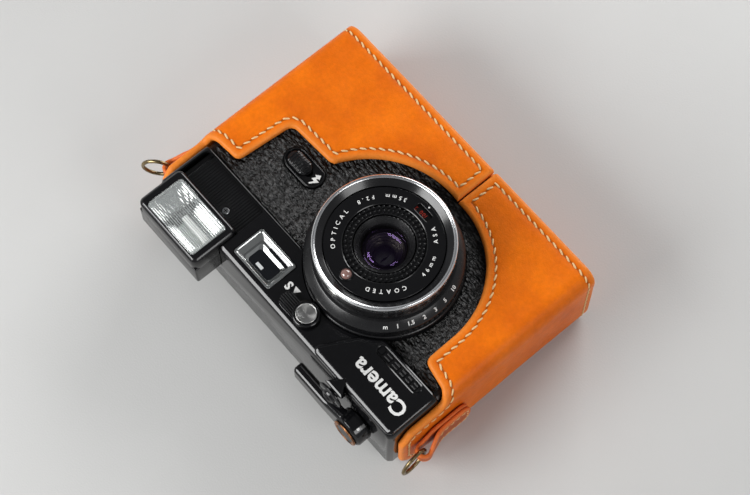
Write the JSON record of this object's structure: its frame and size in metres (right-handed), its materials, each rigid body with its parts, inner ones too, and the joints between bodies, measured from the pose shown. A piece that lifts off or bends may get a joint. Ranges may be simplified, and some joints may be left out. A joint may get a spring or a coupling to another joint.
{
  "type": "compact film camera in leather half case",
  "caption": "Compact 35 mm film camera with a raised pop-up flash, lying on its back in a sewn orange leather half case with strap rings.",
  "frame": {"origin": "on the lens axis, in the plane of the case back, which is the face the object rests on", "axes": "+X to the right of somebody who faces the lens, along the long side; +Y to the top of the camera; +Z out of the lens, along its axis"},
  "size_m": [0.1497, 0.102, 0.0549],
  "materials": {
    "case_leather": "smooth orange leather with burnished edges and cream stitching",
    "tab_leather": "folded orange leather strap, sewn",
    "base_leather": "smooth orange leather base sole",
    "base_board": "pressed leather board with raw edges",
    "lining": "dark brown flock",
    "antique_brass": "dulled antique brass",
    "cover_gloss": "glossy black enamel",
    "body_satin": "satin black moulding",
    "leatherette": "black vinyl with a pebbled grain",
    "lens_black": "satin black anodised ring",
    "name_black": "gloss black ring with engraved white lettering",
    "bright_chrome": "polished bright chrome",
    "lever_copper": "worn plating, coppery where rubbed",
    "lens_glass": "coated glass with a violet reflection",
    "clear_plastic": "clear moulded plastic",
    "sensor_glass": "domed light-cell window",
    "reflector": "bright metallised reflector",
    "alloy": "grey die-cast alloy",
    "steel": "brushed steel",
    "flash_satin": "satin black moulding with softened edges",
    "cell_label": "printed cell jacket",
    "circuit": "green circuit board"
  },
  "bodies": {
    "camera_in_case": {"case_wrap": "case_leather", "case_base_leather": "base_leather", "case_base_block": "base_board", "case_base_lining": "lining", "case_screw_bush": "antique_brass", "strap_tab_left": "tab_leather", "strap_tab_right": "tab_leather", "front_shell": "body_satin", "front_leatherette": "leatherette", "bottom_cover": "cover_gloss", "battery_door": "body_satin", "tripod_socket": "steel", "film_door": "body_satin", "pressure_plate": "steel", "chassis": "alloy", "cassette_housing": "body_satin", "top_cover": "cover_gloss", "front_panel": "cover_gloss", "shutter_collar": "cover_gloss", "viewfinder_window": "clear_plastic", "viewfinder_tunnel": "body_satin", "viewfinder_objective": "lens_glass", "viewfinder_eyepiece": "lens_glass", "flash_switch_bezel": "body_satin", "lens_base": "lens_black", "front_barrel": "lens_black", "filter_ring": "bright_chrome", "name_ring": "name_black", "cds_window": "sensor_glass", "front_retainer": "lens_black", "front_element": "lens_glass", "lens_cell": "lens_black", "shutter_housing": "alloy", "rear_element": "lens_glass", "battery_back": "cell_label", "battery_front": "cell_label", "flash_capacitor": "cell_label", "circuit_board": "circuit"},
    "advance": {"advance_lever": "cover_gloss", "advance_lever_cap": "lever_copper"},
    "takeup": {"takeup_spool": "body_satin"},
    "sprocket": {"sprocket_shaft": "body_satin"},
    "rewind": {"rewind_crank": "steel"},
    "button": {"shutter_button": "body_satin"},
    "flash": {"flash_head": "flash_satin", "flash_reflector": "reflector", "flash_tube": "clear_plastic", "flash_window": "clear_plastic", "flash_apron": "flash_satin", "flash_apron_screw": "steel"},
    "focus": {"focus_ring": "lens_black"},
    "asa": {"asa_ring": "lens_black"},
    "switch": {"flash_switch_slider": "body_satin"},
    "timer": {"selftimer_lever": "cover_gloss", "selftimer_cap": "bright_chrome"},
    "ring_left": {"strap_ring_left": "antique_brass"},
    "ring_right": {"strap_ring_right": "antique_brass"},
    "case_screw": {"case_fixing_screw": "antique_brass"},
    "blade_a": {"shutter_blade_a": "steel"},
    "blade_b": {"shutter_blade_b": "steel"}
  },
  "joints": [
    {"name": "advance_lever_turn", "type": "hinge", "parent": "camera_in_case", "child": "advance", "pos_m": [-0.034, 0, 0.0195], "axis": [0, 1, 0], "range_deg": [0, 130], "stiffness_Nm_per_rad": 0.01, "springref_deg": -45.84},
    {"name": "takeup_spool_turn", "type": "hinge", "parent": "camera_in_case", "child": "takeup", "pos_m": [-0.034, 0, 0.0195], "axis": [0, 1, 0], "range_deg": [0, 273.01]},
    {"name": "sprocket_turn", "type": "hinge", "parent": "camera_in_case", "child": "sprocket", "pos_m": [-0.0248, 0, 0.011], "axis": [0, 1, 0], "range_deg": [0, 360.11]},
    {"name": "rewind_crank_turn", "type": "hinge", "parent": "camera_in_case", "child": "rewind", "pos_m": [0.0335, 0, 0.0186], "axis": [0, 1, 0], "continuous": true},
    {"name": "case_screw_turn", "type": "hinge", "parent": "camera_in_case", "child": "case_screw", "pos_m": [0.0128, -0.04, 0.017], "axis": [0, 1, 0], "continuous": true},
    {"name": "shutter_button_press", "type": "slide", "parent": "camera_in_case", "child": "button", "axis": [0, -1, 0], "range_m": [0, 0.0012], "stiffness_N_per_m": 200, "springref_m": -0.002},
    {"name": "flash_pop_up", "type": "slide", "parent": "camera_in_case", "child": "flash", "axis": [0, 1, 0], "range_m": [-0.012, 0]},
    {"name": "flash_switch_slide", "type": "slide", "parent": "camera_in_case", "child": "switch", "axis": [1, 0, 0], "range_m": [-0.005, 0], "stiffness_N_per_m": 120, "springref_m": 0.003},
    {"name": "focus_ring_turn", "type": "hinge", "parent": "camera_in_case", "child": "focus", "pos_m": [0, 0, 0.04], "axis": [0, 0, 1], "range_deg": [-30, 70]},
    {"name": "asa_ring_turn", "type": "hinge", "parent": "camera_in_case", "child": "asa", "pos_m": [0, 0, 0.051], "axis": [0, 0, 1], "range_deg": [-15, 60]},
    {"name": "selftimer_swing", "type": "hinge", "parent": "camera_in_case", "child": "timer", "pos_m": [0.0023, 0.0329, 0.036], "axis": [0, 0, 1], "range_deg": [-30, 0]},
    {"name": "strap_ring_left_swing", "type": "hinge", "parent": "camera_in_case", "child": "ring_left", "pos_m": [-0.056, 0.0302, 0.0175], "axis": [0, 0, 1], "range_deg": [-16, 138]},
    {"name": "strap_ring_right_swing", "type": "hinge", "parent": "camera_in_case", "child": "ring_right", "pos_m": [0.0822, 0.0302, 0.0175], "axis": [0, 0, 1], "range_deg": [-95, 56]},
    {"name": "shutter_blade_a_swing", "type": "hinge", "parent": "camera_in_case", "child": "blade_a", "pos_m": [0.0135, 0, 0.0374], "axis": [0, 0, 1], "range_deg": [0, 44], "stiffness_Nm_per_rad": 0.0005, "springref_deg": -28.65},
    {"name": "shutter_blade_b_swing", "type": "hinge", "parent": "camera_in_case", "child": "blade_b", "pos_m": [-0.0135, 0, 0.0383], "axis": [0, 0, 1], "range_deg": [0, 44.01]}
  ],
  "couplings": [
    {"joint": "takeup_spool_turn", "follows": "advance_lever_turn", "ratio": 2.1},
    {"joint": "sprocket_turn", "follows": "advance_lever_turn", "ratio": 2.77},
    {"joint": "shutter_blade_b_swing", "follows": "shutter_blade_a_swing", "ratio": 1}
  ]
}
